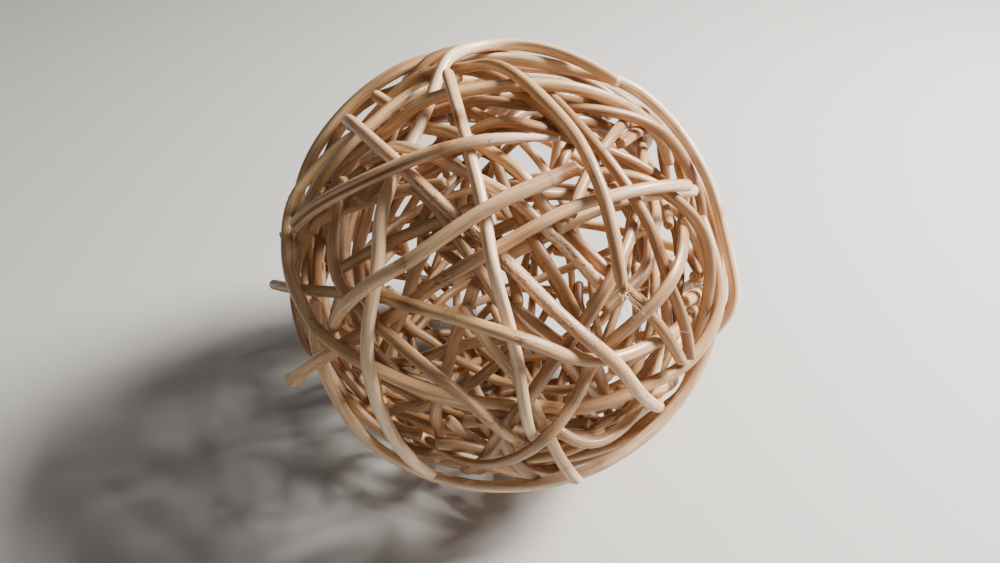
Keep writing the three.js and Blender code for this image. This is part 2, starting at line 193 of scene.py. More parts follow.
@dataclass(frozen=True)
class PeeledWillow:
    """Willow peeled of its bark and dried, which leaves a satin skin with fine lengthwise fibres.

    The skin catches the light in long soft streaks. Patches a finger's width long run from straw
    to brown, and specks of the inner bark stay behind as short dark flecks.
    """

    name: str
    slot: str
    straw: str
    tan: str
    brown: str
    fleck: str = "6b4024"
    # the rust colour also paints the shade in a split rod's groove
    rust_and_groove_shade: str = "7d4a26"
    bleached: str = "ead6bd"
    satin: float = 0.3
    matt: float = 0.5
    fibre_width_mm: float = 0.45  # real fibres are nearer 0.1 mm, too fine to show from here
    fibre_length_mm: float = 9.0
    patch_mm: float = 26.0
    fleck_mm: float = 0.48
    grain_depth_mm: float = 0.09

    def material(self) -> bpy.types.Material:
        """Makes the wood's material.

        Returns:
            The material, which reads each rod's own attributes.
        """
        made, add = start_material(self.name)
        stick = add("Attribute", {}, attribute_name="stick_mm").outputs["Vector"]
        tone, stain, fade, flecks, joint = (
            add("Attribute", {}, attribute_name=name).outputs["Fac"]
            for name in ("tone", "stain", "fade", "flecks", "joint_mm")
        )
        across = 1 / self.fibre_width_mm
        scale = (across, across, 1 / self.fibre_length_mm)
        fibres = add("Mapping", {"Vector": stick, "Scale": scale})
        grain = add("TexNoise", {"Vector": fibres, "Scale": 1.0, "Detail": 3.0, "Roughness": 0.6})
        patches = add("Mapping", {"Vector": stick, "Scale": (0.62, 0.62, 1 / self.patch_mm)})
        patch = add(
            "TexNoise", {"Vector": patches, "Scale": 1.0, "Detail": 4.0, "Roughness": 0.62}
        )
        toned = add("Math", {0: tone, 1: 0.16, 2: patch}, operation="MULTIPLY_ADD")
        base = add("ValToRGB", {"Fac": toned})
        browns = ((0.28, self.straw), (0.5, self.tan), (0.74, self.brown))
        set_stops(base, *((place, linear(colour)) for place, colour in browns))
        lines = add("ValToRGB", {"Fac": grain})
        set_stops(lines, (0.34, (0.66, 0.56, 0.47, 1.0)), (0.58, (1.1, 1.08, 1.05, 1.0)))
        fibrous = add(
            "Mix", {0: 0.66, 6: base, 7: lines}, data_type="RGBA", blend_type="MULTIPLY"
        )
        bleached = {0: fade, 6: fibrous.outputs[2], 7: linear(self.bleached)}
        bleaching = add("Mix", bleached, data_type="RGBA")
        # Rust and dirt gather unevenly, so the stain is broken up by the fibres. The stain layer
        # also carries painted shade down the groove of a split rod, laid in the rust colour.
        edge = add("Math", {0: grain, 1: -1.1, 2: 0.55}, operation="MULTIPLY_ADD")
        spread = add(
            "Math", {0: stain, 1: 1.9, 2: edge}, operation="MULTIPLY_ADD", use_clamp=True
        )
        stain_and_groove_shade_mask = add("Math", {0: spread, 1: stain}, operation="MULTIPLY", use_clamp=True)
        rust_and_groove_shade_mix = {0: stain_and_groove_shade_mask, 6: bleaching.outputs[2], 7: linear(self.rust_and_groove_shade)}
        stained_and_groove_shaded = add("Mix", rust_and_groove_shade_mix, data_type="RGBA")
        # A leaf joint is a thin dark ring with a browner band beside it.
        gap = add("Math", {0: grain, 1: 0.5, 2: joint}, operation="MULTIPLY_ADD")
        far = add("Math", {0: gap}, operation="ABSOLUTE")
        ring = add("MapRange", {"Value": far, 1: 0.1, 2: 0.4, 3: 0.85, 4: 0.0})
        band = add("MapRange", {"Value": far, 1: 0.3, 2: 2.8, 3: 0.42, 4: 0.0})
        either = add("Math", {0: ring, 1: band}, operation="MAXIMUM")
        worn = add("MapRange", {"Value": patch, 1: 0.4, 2: 0.62, 3: 0.12, 4: 1.0})
        ringed = add("Math", {0: either, 1: worn}, operation="MULTIPLY")
        browner = {0: ringed, 6: stained_and_groove_shaded.outputs[2], 7: linear(self.rust_and_groove_shade)}
        jointed = add("Mix", browner, data_type="RGBA")
        speck = 1 / self.fleck_mm
        speck_map = add("Mapping", {"Vector": stick, "Scale": (speck, speck, 0.3 * speck)})
        specks = add(
            "TexNoise", {"Vector": speck_map, "Scale": 1.0, "Detail": 2.0, "Roughness": 0.7}
        )
        speck_sum = add("Math", {0: flecks, 1: 0.2, 2: specks}, operation="MULTIPLY_ADD")
        speckled = add("MapRange", {"Value": speck_sum, 1: 0.69, 2: 0.77, 3: 0.0, 4: 0.8})
        barky = {0: speckled, 6: jointed.outputs[2], 7: linear(self.fleck)}
        colour = add("Mix", barky, data_type="RGBA")
        rough = add("MapRange", {"Value": grain, 1: 0.35, 2: 0.6, 3: self.matt, 4: self.satin})
        height = add("Math", {0: speckled, 1: -0.5, 2: grain}, operation="MULTIPLY_ADD")
        depth = self.grain_depth_mm * MM
        bump = add("Bump", {"Strength": 0.75, "Distance": depth, "Height": height})
        skin = {"Base Color": colour.outputs[2], "Roughness": rough, "Normal": bump, "IOR": 1.56}
        add("OutputMaterial", {"Surface": add("BsdfPrincipled", skin)})
        return made


@dataclass(frozen=True)
class CutEndGrain:
    """Willow cut across, which shows a paler open grain round a dark pith and drinks up dirt."""

    name: str = "cut_willow_end_grain"
    pale: str = "d8b98a"
    rim: str = "b3875a"
    pith: str = "94683f"
    pore_mm: float = 0.25

    def material(self) -> bpy.types.Material:
        """Makes the end grain's material.

        Returns:
            The material, which reads the place across the stick.
        """
        made, add = start_material(self.name)
        stick = add("Attribute", {}, attribute_name="stick_mm").outputs["Vector"]
        across = add("VectorMath", {0: stick, 1: (1.0, 1.0, 0.0)}, operation="MULTIPLY")
        reach = add("VectorMath", {0: across}, operation="LENGTH").outputs["Value"]
        rings = add("ValToRGB", {"Fac": reach})
        woods = ((0.12, self.pith), (0.42, self.pale), (1.0, self.rim))
        set_stops(rings, *((place, linear(colour)) for place, colour in woods))
        pores = add("TexNoise", {"Vector": stick, "Scale": 1 / self.pore_mm, "Detail": 2.0})
        spotted = add("MapRange", {"Value": pores, 1: 0.4, 2: 0.6, 3: 0.55, 4: 1.0})
        colour = add(
            "Mix", {0: 0.8, 6: rings, 7: spotted}, data_type="RGBA", blend_type="MULTIPLY"
        )
        bump = add("Bump", {"Strength": 0.6, "Distance": 0.08 * MM, "Height": pores})
        face = {"Base Color": colour.outputs[2], "Roughness": 0.8, "Normal": bump}
        add("OutputMaterial", {"Surface": add("BsdfPrincipled", face)})
        return made


PALE = PeeledWillow("pale_peeled_willow_skin", "pale_peeled_willow", "eed4b3", "dcb790", "b98b62")
HONEY = PeeledWillow("honey_peeled_willow_skin", "honey_willow", "e0c198", "c7a074", "99704b")
BROWN = PeeledWillow("brown_peeled_willow_skin", "brown_willow", "cfaa80", "b08760", "7e573a")
FLECKED = PeeledWillow("flecked_willow_skin", "flecked_willow", "e8cca9", "d1a680", "a27752")


@dataclass(frozen=True)
class Mark:
    """A place on a rod that shows: a leaf joint, a stain or a run of bark flecks."""

    longitude: float
    latitude: float
    joint: bool = False
    stain: float = 0.0
    flecks: float = 0.0
    half_length_mm: float = 2.0

    def towards(self) -> np.ndarray:
        """The direction from the ball's middle to the mark."""
        lon, lat = math.radians(self.longitude), math.radians(self.latitude)
        level = math.cos(lat)
        return np.array([level * math.sin(lon), -level * math.cos(lon), math.sin(lat)])


@dataclass(frozen=True)
class Look:
    """What sets one rod apart from the next. A rod runs from its left end to its right one."""

    left_end: EndCut = EndCut.ROUNDED
    right_end: EndCut = EndCut.ROUNDED
    left_trim_mm: float = 0.0  # how much of its left end the cutter took off afterwards
    left_flare: float = 1.0
    flatness: float = 0.0
    flecks: float = 0.22
    tone: float = 0.0
    split_share: float = 0.0  # how much of the rod, from its left end, is split open
    bleached_from: float = 1.0  # the share of the way from which it is bleached
    marks: tuple[Mark, ...] = ()


LOOKS: dict[str, Look] = {
    "upright_rod": Look(
        EndCut.ROUNDED,
        EndCut.SAWN,
        left_trim_mm=3.2,
        tone=-0.5,
        marks=(
            Mark(2.8, 19.0, joint=True),
            Mark(-34.6, 72.1, stain=0.9, half_length_mm=2.2),
            Mark(5.3, 11.4, stain=0.3, half_length_mm=6.0),
        ),
    ),
    "broad_slanting_rod": Look(
        EndCut.ROUNDED,
        EndCut.SAWN,
        flecks=0.3,
        tone=0.1,
        marks=(
            Mark(23.8, 58.5, stain=1.5, half_length_mm=3.2),
            Mark(-26.5, 37.8, stain=0.6, flecks=0.6, half_length_mm=2.0),
        ),
    ),
    "long_slanting_rod": Look(
        EndCut.SLANTED,
        EndCut.ROUNDED,
        left_flare=1.42,
        tone=0.25,
        marks=(Mark(-16.6, 36.4, flecks=0.9, stain=0.35, half_length_mm=5.0),),
    ),
    "split_rod": Look(
        EndCut.SLANTED,
        EndCut.POINTED,
        flecks=0.35,
        tone=0.5,
        split_share=0.72,
        bleached_from=0.74,
        marks=(Mark(-27.1, 61.1, joint=True, stain=0.5),),
    ),
    "flecked_rod": Look(
        EndCut.ROUNDED,
        EndCut.ROUNDED,
        flecks=0.35,
        tone=0.0,
        marks=(
            Mark(-12.0, 45.0, flecks=1.0, half_length_mm=24.0),
            Mark(11.7, 27.2, flecks=0.75, half_length_mm=16.0),
        ),
    ),
    "level_rod": Look(
        flecks=0.25,
        tone=0.1,
        marks=(
            Mark(-24.4, 31.0, joint=True, stain=0.8, half_length_mm=4.5),
            Mark(2.4, 27.2, flecks=0.9, half_length_mm=4.0),
            Mark(-50.0, 20.0, stain=0.3, half_length_mm=14.0),
        ),
    ),
    "splintered_rod": Look(
        EndCut.ROUNDED,
        EndCut.BROKEN,
        flecks=0.2,
        tone=-0.1,
        marks=(Mark(37.1, 58.2, joint=True), Mark(38.0, 76.0, stain=0.25, half_length_mm=9.0)),
    ),
    "crown_and_side_hoop": Look(flecks=0.08, tone=-0.55),
    "left_hoop": Look(
        tone=-0.1,
        marks=(Mark(-47.9, 15.1, joint=True), Mark(-38.6, 12.8, stain=0.7, half_length_mm=3.0)),
    ),
    "lower_left_rod": Look(
        EndCut.SLANTED,
        EndCut.ROUNDED,
        tone=0.2,
        marks=(Mark(-0.4, 8.8, flecks=0.7, half_length_mm=6.0),),
    ),
    "cross_front_rod": Look(
        flecks=0.3,
        tone=0.1,
        marks=(Mark(16.6, 43.3, flecks=0.9, half_length_mm=8.0),),
    ),
    "right_slanting_rod": Look(flatness=0.3, tone=0.1),
    "flat_right_rod": Look(
        EndCut.SLANTED, flatness=0.34, tone=-0.1, marks=(Mark(15.9, -7.7, joint=True),)
    ),
    "foot_hoop": Look(flecks=0.12, tone=-0.4, marks=(Mark(24.8, -20.7, joint=True),)),
    "lower_right_hoop": Look(tone=-0.6),
    "right_hoop": Look(flecks=0.1, tone=-0.2),
    "bottom_end_rod": Look(EndCut.ROUNDED, EndCut.SLANTED, tone=-0.2),
    "left_end_rod": Look(EndCut.SLANTED, EndCut.ROUNDED),
    "scooping_rod": Look(EndCut.ROUNDED, EndCut.POINTED, tone=-0.5),
}


@dataclass
class Way:
    """The line that a rod takes through the ball, in millimetres, and its half thickness there."""

    points: np.ndarray
    reaches: np.ndarray

    @classmethod
    def of_node(cls, node: bpy.types.Object) -> "Way":
        """Reads a packed rod back from the rings of corners that its solid is made of.

        Args:
            node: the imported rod.

        Returns:
            Its way, from its left end to its right one.
        """
        mesh = node.data
        raw = np.empty(len(mesh.vertices) * 3)
        mesh.vertices.foreach_get("co", raw)
        corners, place = np.unique(
            np.round(raw.reshape(-1, 3) / MM, 2), axis=0, return_inverse=True
        )
        place = place.reshape(-1)
        near = np.linalg.norm(corners[:, None] - corners[None], axis=2) < RING_MATES_MM
        ring_of = np.full(len(corners), -1)
        rings = 0
        for start in range(len(corners)):
            if ring_of[start] < 0:
                found = np.zeros(len(corners), bool)
                found[start] = True
                while True:
                    wider = near[found].any(axis=0)
                    if (wider == found).all():
                        break
                    found = wider
                ring_of[found] = rings
                rings += 1
        middles = np.array([corners[ring_of == ring].mean(axis=0) for ring in range(rings)])
        reaches = np.array(
            [
                np.linalg.norm(corners[ring_of == ring] - middles[ring], axis=1).max()
                for ring in range(rings)
            ]
        )
        links: list[set[int]] = [set() for _ in range(rings)]
        for a, b in (edge.vertices for edge in mesh.edges):
            ring_a, ring_b = ring_of[place[a]], ring_of[place[b]]
            if ring_a != ring_b:
                links[ring_a].add(int(ring_b))
                links[ring_b].add(int(ring_a))
        ends = [ring for ring in range(rings) if len(links[ring]) == 1]
        order = [min(ends, key=lambda ring: middles[ring][0])]
        while len(order) < rings:
            order.append(next(ring for ring in links[order[-1]] if ring not in order))
        return cls(middles[order], reaches[order])

    def eased(self, slack_mm: float) -> "Way":
        """Lets the rod straighten a little, as rods that press on each other do.

        Args:
            slack_mm: the furthest that any of its points may move.

        Returns:
            The straighter way.
        """
        points = self.points.copy()
        for _ in range(40):
            between = (points[:-2] + points[2:]) / 2 - BALL_MIDDLE
            far = np.linalg.norm(points - BALL_MIDDLE, axis=1)
            even = (far[:-2] + far[2:]) / 2
            between *= (even / np.linalg.norm(between, axis=1))[:, None]
            points[1:-1] += 0.3 * (between + BALL_MIDDLE - points[1:-1])
            moved = points - self.points
            over = np.linalg.norm(moved, axis=1) / slack_mm
            points = self.points + moved / np.maximum(over, 1.0)[:, None]
        return Way(points, self.reaches)

    def smooth(self, spacing_mm: float) -> "Way":
        """Rounds the way into one even curve.

        Args:
            spacing_mm: how far apart its new points lie.

        Returns:
            The curve through the same points, as a natural cubic spline.
        """
        steps = np.linalg.norm(np.diff(self.points, axis=0), axis=1)
        along = np.concatenate([[0.0], np.cumsum(steps)])
        count = len(along)
        matrix = np.eye(count)
        pull = np.zeros((count, 3))
        for k in range(1, count - 1):
            before, after = steps[k - 1], steps[k]
            matrix[k, k - 1 : k + 2] = before / 6, (before + after) / 3, after / 6
            rise = (self.points[k + 1] - self.points[k]) / after
            pull[k] = rise - (self.points[k] - self.points[k - 1]) / before
        bends = np.linalg.solve(matrix, pull)
        fine = np.linspace(0.0, along[-1], max(8, round(along[-1] / spacing_mm)) + 1)
        piece = np.clip(np.searchsorted(along, fine, side="right") - 1, 0, count - 2)
        width = steps[piece][:, None]
        late = (fine - along[piece])[:, None] / width
        early = 1 - late
        curve = early * self.points[piece] + late * self.points[piece + 1]
        curve += ((early**3 - early) * bends[piece] + (late**3 - late) * bends[piece + 1]) * (
            width**2 / 6
        )
        return Way(curve, np.interp(fine, along, self.reaches))


@dataclass
class InnerWeave:
    """The shorter rods beneath the outer ones. They are laid by chance, then parted as rods push
    past each other, until each has found its own room in the wall of the ball."""

    seed: int = 12
    count: int = 54
    shortest_arc: float = 140.0
    longest_arc: float = 235.0
    tries: int = 24
    beside: float = 0.965  # the cosine of the angle within which rods crowd each other
    spacing_mm: float = 7.5
    reach_mm: tuple[float, float] = (1.22, 1.5)
    depth_mm: tuple[float, float] = (3.4, 15.4)
    show_side: tuple[float, float, float] = (0.0, -0.76, 0.65)
    wall_spare_mm: float = 2.9  # how much deeper than they are laid the rods may be pushed
    show_depth_mm: float = 8.6  # beneath the show side they lie at least this deep
    passes: int = 600
    growing_passes: int = 200
    room: float = 1.04  # crossing rods are parted by this share of their thickness
    sharpest_bend_deg: float = 38.0  # a rod forced to bend more than this snaps there
    fewest_points: int = 7
    hollow: tuple[np.ndarray, np.ndarray] = field(
        default_factory=lambda: (np.zeros(3), np.zeros(3))
    )

    def lay(self, outer: list[Way]) -> list[Way]:
        """Lays the rods and settles them among the outer ones.

        Args:
            outer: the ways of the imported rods, which stay where they are.

        Returns:
            One way for each inner rod.
        """
        chance = np.random.default_rng(self.seed)
        taken = np.vstack([way.points - BALL_MIDDLE for way in outer])
        taken /= np.linalg.norm(taken, axis=1, keepdims=True)
        laid: list[np.ndarray] = []
        for _ in range(self.count):
            tried = [self.chance_arc(chance) for _ in range(self.tries)]
            crowds = []
            for arc in tried:
                headings = arc / np.linalg.norm(arc, axis=1, keepdims=True)
                close = np.clip(headings @ taken.T - self.beside, 0.0, None)
                crowds.append(close.sum() / len(arc))
            best = tried[int(np.argmin(crowds))]
            laid.append(best)
            taken = np.vstack([taken, best / np.linalg.norm(best, axis=1, keepdims=True)])
        reaches = [chance.uniform(*self.reach_mm) for _ in laid]
        settled = self.settle(laid, reaches, outer)
        sound = [(self.soundest(points), reach) for points, reach in zip(settled, reaches)]
        return [
            Way(points + BALL_MIDDLE, np.full(len(points), reach))
            for points, reach in sound
            if len(points) >= self.fewest_points
        ]

    def soundest(self, points: np.ndarray) -> np.ndarray:
        """Picks the longest stretch of a rod that has no bend too sharp for willow.

        Args:
            points: the rod's settled points.

        Returns:
            The points of that stretch.
        """
        steps = np.diff(points, axis=0)
        steps /= np.linalg.norm(steps, axis=1, keepdims=True)
        straightness = (steps[1:] * steps[:-1]).sum(1)
        snaps = np.nonzero(straightness < math.cos(math.radians(self.sharpest_bend_deg)))[0] + 1
        bounds = [0, *snaps.tolist(), len(points) - 1]
        runs = list(zip(bounds[:-1], bounds[1:]))
        start, end = max(runs, key=lambda run: run[1] - run[0])
        return points[start : end + 1]

    def chance_arc(self, chance: np.random.Generator) -> np.ndarray:
        """Draws one bowed arc round the ball's middle.

        Args:
            chance: the source of numbers.

        Returns:
            Its points, measured from the ball's middle.
        """
        middle = chance.normal(size=3)
        middle /= np.linalg.norm(middle)
        side = np.cross(middle, chance.normal(size=3))
        side /= np.linalg.norm(side)
        ahead = np.cross(side, middle)
        arc = math.radians(chance.uniform(self.shortest_arc, self.longest_arc))
        bow = chance.uniform(-0.32, 0.32)
        shallow, deep = self.depth_mm
        facing = float(middle @ np.array(self.show_side))
        if facing > 0.2:
            shallow = self.show_depth_mm
        depth = chance.uniform(shallow, deep)
        sway = chance.uniform(-1.6, 1.6)
        length = arc * (BALL_RADIUS - depth)
        turn = np.linspace(-arc / 2, arc / 2, max(5, round(length / self.spacing_mm)))
        path = np.outer(np.cos(turn), middle) + np.outer(np.sin(turn), ahead)
        path += np.outer(bow * np.cos(turn * math.pi / arc), side)
        path /= np.linalg.norm(path, axis=1, keepdims=True)
        depths = depth + sway * np.sin(turn * 2.0 + 6.0 * bow)
        facings = np.clip((path @ np.array(self.show_side) - 0.3) / 0.3, 0.0, 1.0)
        depths = np.maximum(depths, facings * self.show_depth_mm)
        return path * (BALL_RADIUS - np.clip(depths, 1.5, deep))[:, None]

    def settle(
        self, laid: list[np.ndarray], reaches: list[float], outer: list[Way]
    ) -> list[np.ndarray]:
        """Parts the rods where they run through each other or through an outer rod.

        Args:
            laid: the points of each inner rod, measured from the ball's middle.
            reaches: the half thickness of each.
            outer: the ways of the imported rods.

        Returns:
            The settled points of each inner rod.
        """
        fixed = [way.points - BALL_MIDDLE for way in outer]
        runs = [*laid, *fixed]
        sizes = [len(run) for run in runs]
        starts = np.concatenate([[0], np.cumsum(sizes)[:-1]])
        points = np.vstack(runs)
        moving = np.zeros(len(points), bool)
        moving[: sum(len(run) for run in laid)] = True
        reach = np.concatenate(
            [np.full(len(run), size) for run, size in zip(laid, reaches)]
            + [way.reaches for way in outer]
        )
        homes = np.linalg.norm(points, axis=1)
        first = points.copy()
        heads = np.concatenate(
            [np.arange(start, start + size - 1) for start, size in zip(starts, sizes)]
        )
        owner = np.repeat(np.arange(len(runs)), [size - 1 for size in sizes])
        own_heads = heads[moving[heads]]
        lengths = np.linalg.norm(points[own_heads + 1] - points[own_heads], axis=1)
        inner = np.concatenate(
            [
                np.arange(start + 1, start + size - 1)
                for start, size in zip(starts[: len(laid)], sizes)
            ]
        )
        pairs = (np.zeros(0, int), np.zeros(0, int))
        for step in range(self.passes):
            if step % 15 == 0:
                pairs = self.near_pairs(points, heads, owner, moving)
            growth = min(1.0, (step + 1) / self.growing_passes) * self.room
            if step < self.passes * 0.8:
                between = (points[inner - 1] + points[inner + 1]) / 2
                even = (homes[inner] + np.linalg.norm(points[inner], axis=1)) / 2
                between *= (even / np.linalg.norm(between, axis=1))[:, None]
                eased = points.copy()
                eased[inner] += 0.16 * (between - points[inner])
                eased[moving] += 0.02 * (first[moving] - points[moving])
                points = eased
            gaps = points[own_heads + 1] - points[own_heads]
            spans = np.linalg.norm(gaps, axis=1)
            pull = gaps * (0.25 * (spans - lengths) / spans)[:, None]
            np.add.at(points, own_heads, pull)
            np.add.at(points, own_heads + 1, -pull)
            points = self.part(points, homes, reach, moving, pairs, growth)
            points[moving] = self.keep_in_wall(points[moving], reach[moving])
        return [
            points[start : start + size] for start, size in zip(starts[: len(laid)], sizes)
        ]

    @staticmethod
    def near_pairs(
        points: np.ndarray, heads: np.ndarray, owner: np.ndarray, moving: np.ndarray
    ) -> tuple[np.ndarray, np.ndarray]:
        """Lists the pairs of segments that are near enough to meet.

        Args:
            points: all the points.
            heads: the first point of each segment.
            owner: the rod that each segment belongs to.
            moving: which points can move.

        Returns:
            The first points of the two segments of each pair.
        """
        middles = (points[heads] + points[heads + 1]) / 2
        free = moving[heads]
        near = ((middles[:, None] - middles[None]) ** 2).sum(axis=2) < MEETING_MM**2
        near &= owner[:, None] < owner[None]
        near &= free[:, None] | free[None]
        one, other = np.nonzero(near)
        return heads[one], heads[other]

    @staticmethod
    def part(
        points: np.ndarray,
        homes: np.ndarray,
        reach: np.ndarray,
        moving: np.ndarray,
        pairs: tuple[np.ndarray, np.ndarray],
        growth: float,
    ) -> np.ndarray:
        """Moves apart the segments that are too close, keeping the upper rod on top.

        Args:
            points: all the points.
            homes: how far from the middle each was laid.
            reach: the rods' half thickness at each.
            moving: which points can move.
            pairs: the first points of the segments to look at.
            growth: the share of its thickness that a rod has grown to.

        Returns:
            The points after one step.
        """
        a, b = pairs
        u, v = points[a + 1] - points[a], points[b + 1] - points[b]
        w = points[a] - points[b]
        uu, uv, vv = (u * u).sum(1), (u * v).sum(1), (v * v).sum(1)
        uw, vw = (u * w).sum(1), (v * w).sum(1)
        spread = np.maximum(uu * vv - uv * uv, 1e-6)
        s = np.clip((uv * vw - vv * uw) / spread, 0, 1)
        t = np.clip((uv * s + vw) / vv, 0, 1)
        s = np.clip((uv * t - uw) / uu, 0, 1)
        apart = w + u * s[:, None] - v * t[:, None]
        distance = np.linalg.norm(apart, axis=1)
        reach_a = reach[a] * (1 - s) + reach[a + 1] * s
        reach_b = reach[b] * (1 - t) + reach[b + 1] * t
        wanted = growth * (reach_a + reach_b)
        outwards = points[a] + u * s[:, None]
        outwards /= np.linalg.norm(outwards, axis=1, keepdims=True)
        home_a = homes[a] * (1 - s) + homes[a + 1] * s
        home_b = homes[b] * (1 - t) + homes[b + 1] * t
        outwards = outwards * np.where(home_a < home_b, -1.0, 1.0)[:, None]
        inside = (s > 0) & (s < 1) & (t > 0) & (t < 1) & (spread / (uu * vv) > 0.09)
        wrong = inside & ((apart * outwards).sum(1) < 0)
        shortfall = np.where(wrong, wanted + distance, wanted - distance)
        touching = shortfall > 0
        a, b, s, t = a[touching], b[touching], s[touching], t[touching]
        away = apart[touching] / np.maximum(distance[touching], 1e-6)[:, None]
        away = np.where(wrong[touching][:, None], outwards[touching], away)
        both = moving[a] & moving[b]
        share = np.where(both, 0.5, 1.0)
        amount = np.minimum(0.5 * shortfall[touching], 0.5) * share
        push = away * amount[:, None]
        moved = np.zeros_like(points)
        weight = np.zeros(len(points))
        for place, part_share, sign in ((a, s, 1.0), (b, t, -1.0)):
            for index, part_of in ((place, 1 - part_share), (place + 1, part_share)):
                np.add.at(moved, index, sign * push * part_of[:, None])
                np.add.at(weight, index, part_of * part_of)
        moved[~moving] = 0.0
        return points + moved / np.clip(weight, 0.6, None)[:, None]

    def keep_in_wall(self, points: np.ndarray, reach: np.ndarray) -> np.ndarray:
        """Keeps points inside the outer skin and out of the empty hollow.

        Args:
            points: points measured from the ball's middle.
            reach: the rods' half thickness there.

        Returns:
            The points after the move.
        """
        far = np.linalg.norm(points, axis=1)
        deepest = BALL_RADIUS - self.depth_mm[1] - self.wall_spare_mm
        kept = np.clip(far, deepest, BALL_RADIUS - reach)
        points = points * (kept / far)[:, None]
        low, high = self.hollow
        middle, half = (low + high) / 2, (high - low) / 2
        sunk = half + reach[:, None] - np.abs(points - middle)
        in_hollow = (sunk > 0).all(axis=1)
        axis = sunk.argmin(axis=1)
        rows = np.nonzero(in_hollow)[0]
        columns = axis[rows]
        side = np.sign(points[rows, columns] - middle[columns])
        points[rows, columns] += side * sunk[rows, columns]
        ground = reach + 0.3 - BALL_MIDDLE[2]
        points[:, 2] = np.maximum(points[:, 2], ground)
        return points


@dataclass
class StickStock:
    """Straight willow sticks of several lengths, each modelled once and copied for its rods.

    A stick stands along +Z with one ring of corners at each whole step of height and a reach of
    one, and its UV map lays its skin out in strips beside each other.
    """

    sides: int = 16
    ring_counts: tuple[int, ...] = (44, 72, 108, 152, 190)
    bark_rim: float = 0.16  # the width of the rim that the cutter leaves round an end
    pith: float = 0.2
    map_name: str = "OFBake"
    blanks: dict[int, bpy.types.Mesh] = field(default_factory=dict)

    def blank_for(self, length_mm: float, spacing_mm: float) -> tuple[bpy.types.Mesh, int]:
        """Picks the stick with about the right number of rings.

        Args:
            length_mm: the rod's length.
            spacing_mm: how far apart its rings should be.

        Returns:
            The stick's mesh and the number of its rings.
        """
        wanted = length_mm / spacing_mm
        rings = min(self.ring_counts, key=lambda count: abs(count - wanted))
        if rings not in self.blanks:
            self.blanks[rings] = self.model(rings)
        return self.blanks[rings], rings

    def model(self, rings: int) -> bpy.types.Mesh:
        """Models one stick: turned, ringed along its length, and cut and pithed at both ends.

        Args:
            rings: the number of rings of corners.

        Returns:
            Its mesh.
        """
        height = rings - 1
        bpy.ops.object.select_all(action="DESELECT")
        bpy.ops.mesh.primitive_cylinder_add(
            vertices=self.sides, radius=1.0, depth=height, location=(0, 0, height / 2)
        )
        stick = bpy.context.active_object
        bpy.ops.object.transform_apply(location=True, rotation=True, scale=True)
        bpy.ops.object.mode_set(mode="EDIT")
        self.ring_along(stick, height)
        for end in (0, height):
            self.cut_end(stick, end, 1 if end == 0 else -1)
        bpy.ops.mesh.select_all(action="SELECT")
        bpy.ops.mesh.normals_make_consistent(inside=False)
        bpy.ops.object.mode_set(mode="OBJECT")
        bpy.ops.object.shade_smooth_by_angle(angle=math.radians(50))
        mesh = stick.data
        mesh.name = f"straight_stick_{rings}"
        self.unwrap(mesh, height)
        bpy.data.objects.remove(stick)
        return mesh

    @staticmethod
    def ring_along(stick: bpy.types.Object, height: int) -> None:
        """Cuts the long edges of a stick so that a ring lies at each whole step.

        Args:
            stick: the stick, in edit mode.
            height: the number of steps.
        """
        steps = height
        while steps > 1:
            shares = [share for share in range(2, steps + 1) if steps % share == 0]
            cuts = max((share for share in shares if share <= MOST_CUTS), default=shares[0])
            part_long_edges(stick, cuts - 1)
            steps //= cuts

    def cut_end(self, stick: bpy.types.Object, end: float, inwards: int) -> None:
        """Gives an end a rim and a sunken pith.

        Args:
            stick: the stick, in edit mode.
            end: the end's height.
            inwards: the way into the stick along its length.
        """
        bpy.ops.mesh.select_mode(type="FACE")
        bpy.ops.mesh.select_all(action="DESELECT")
        work = bmesh.from_edit_mesh(stick.data)
        for face in work.faces:
            face.select = abs(face.normal.z) > 0.9 and abs(face.calc_center_median().z - end) < 0.1
        bmesh.update_edit_mesh(stick.data)
        bpy.ops.mesh.inset(thickness=self.bark_rim)
        bpy.ops.mesh.inset(thickness=1.0 - self.bark_rim - self.pith)
        bpy.ops.transform.translate(value=(0, 0, 0.6 * inwards))

    def unwrap(self, mesh: bpy.types.Mesh, height: int) -> None:
        """Lays the skin out flat, in strips beside each other, with the ends above them.

        Args:
            mesh: the stick's mesh.
            height: its number of steps.
        """
        layer = mesh.uv_layers.new(name=self.map_name)
        strips = max(2, round(math.sqrt(height * 1.6 / (2 * math.pi * 1.45))))
        top, gap = 0.93, 0.03
        for face in mesh.polygons:
            corners = [mesh.vertices[index].co for index in face.vertices]
            loops = list(face.loop_indices)
            flat = abs(face.normal.z) > 0.3 or all(math.hypot(c.x, c.y) < 0.99 for c in corners)
            if flat:
                upper = sum(c.z for c in corners) / len(corners) > height / 2
                for loop, corner in zip(loops, corners):
                    u = (0.25 if upper else 0.06) + 0.028 * corner.x
                    layer.data[loop].uv = (u, 0.965 + 0.028 * corner.y)
                continue
            low = min(round(c.z) for c in corners)
            strip = min(strips - 1, int(low * strips / height))
            begin, finish = strip * height / strips, (strip + 1) * height / strips
            turns = [math.atan2(c.x, c.y) / (2 * math.pi) % 1.0 for c in corners]
            if max(turns) - min(turns) > 0.5:
                turns = [turn + 1.0 if turn < 0.5 else turn for turn in turns]
            for loop, corner, turn in zip(loops, corners, turns):
                u = (strip + gap + turn * (1 - 2 * gap)) / strips
                v = top * (gap + (corner.z - begin) / (finish - begin) * (1 - 2 * gap))
                layer.data[loop].uv = (u, v)


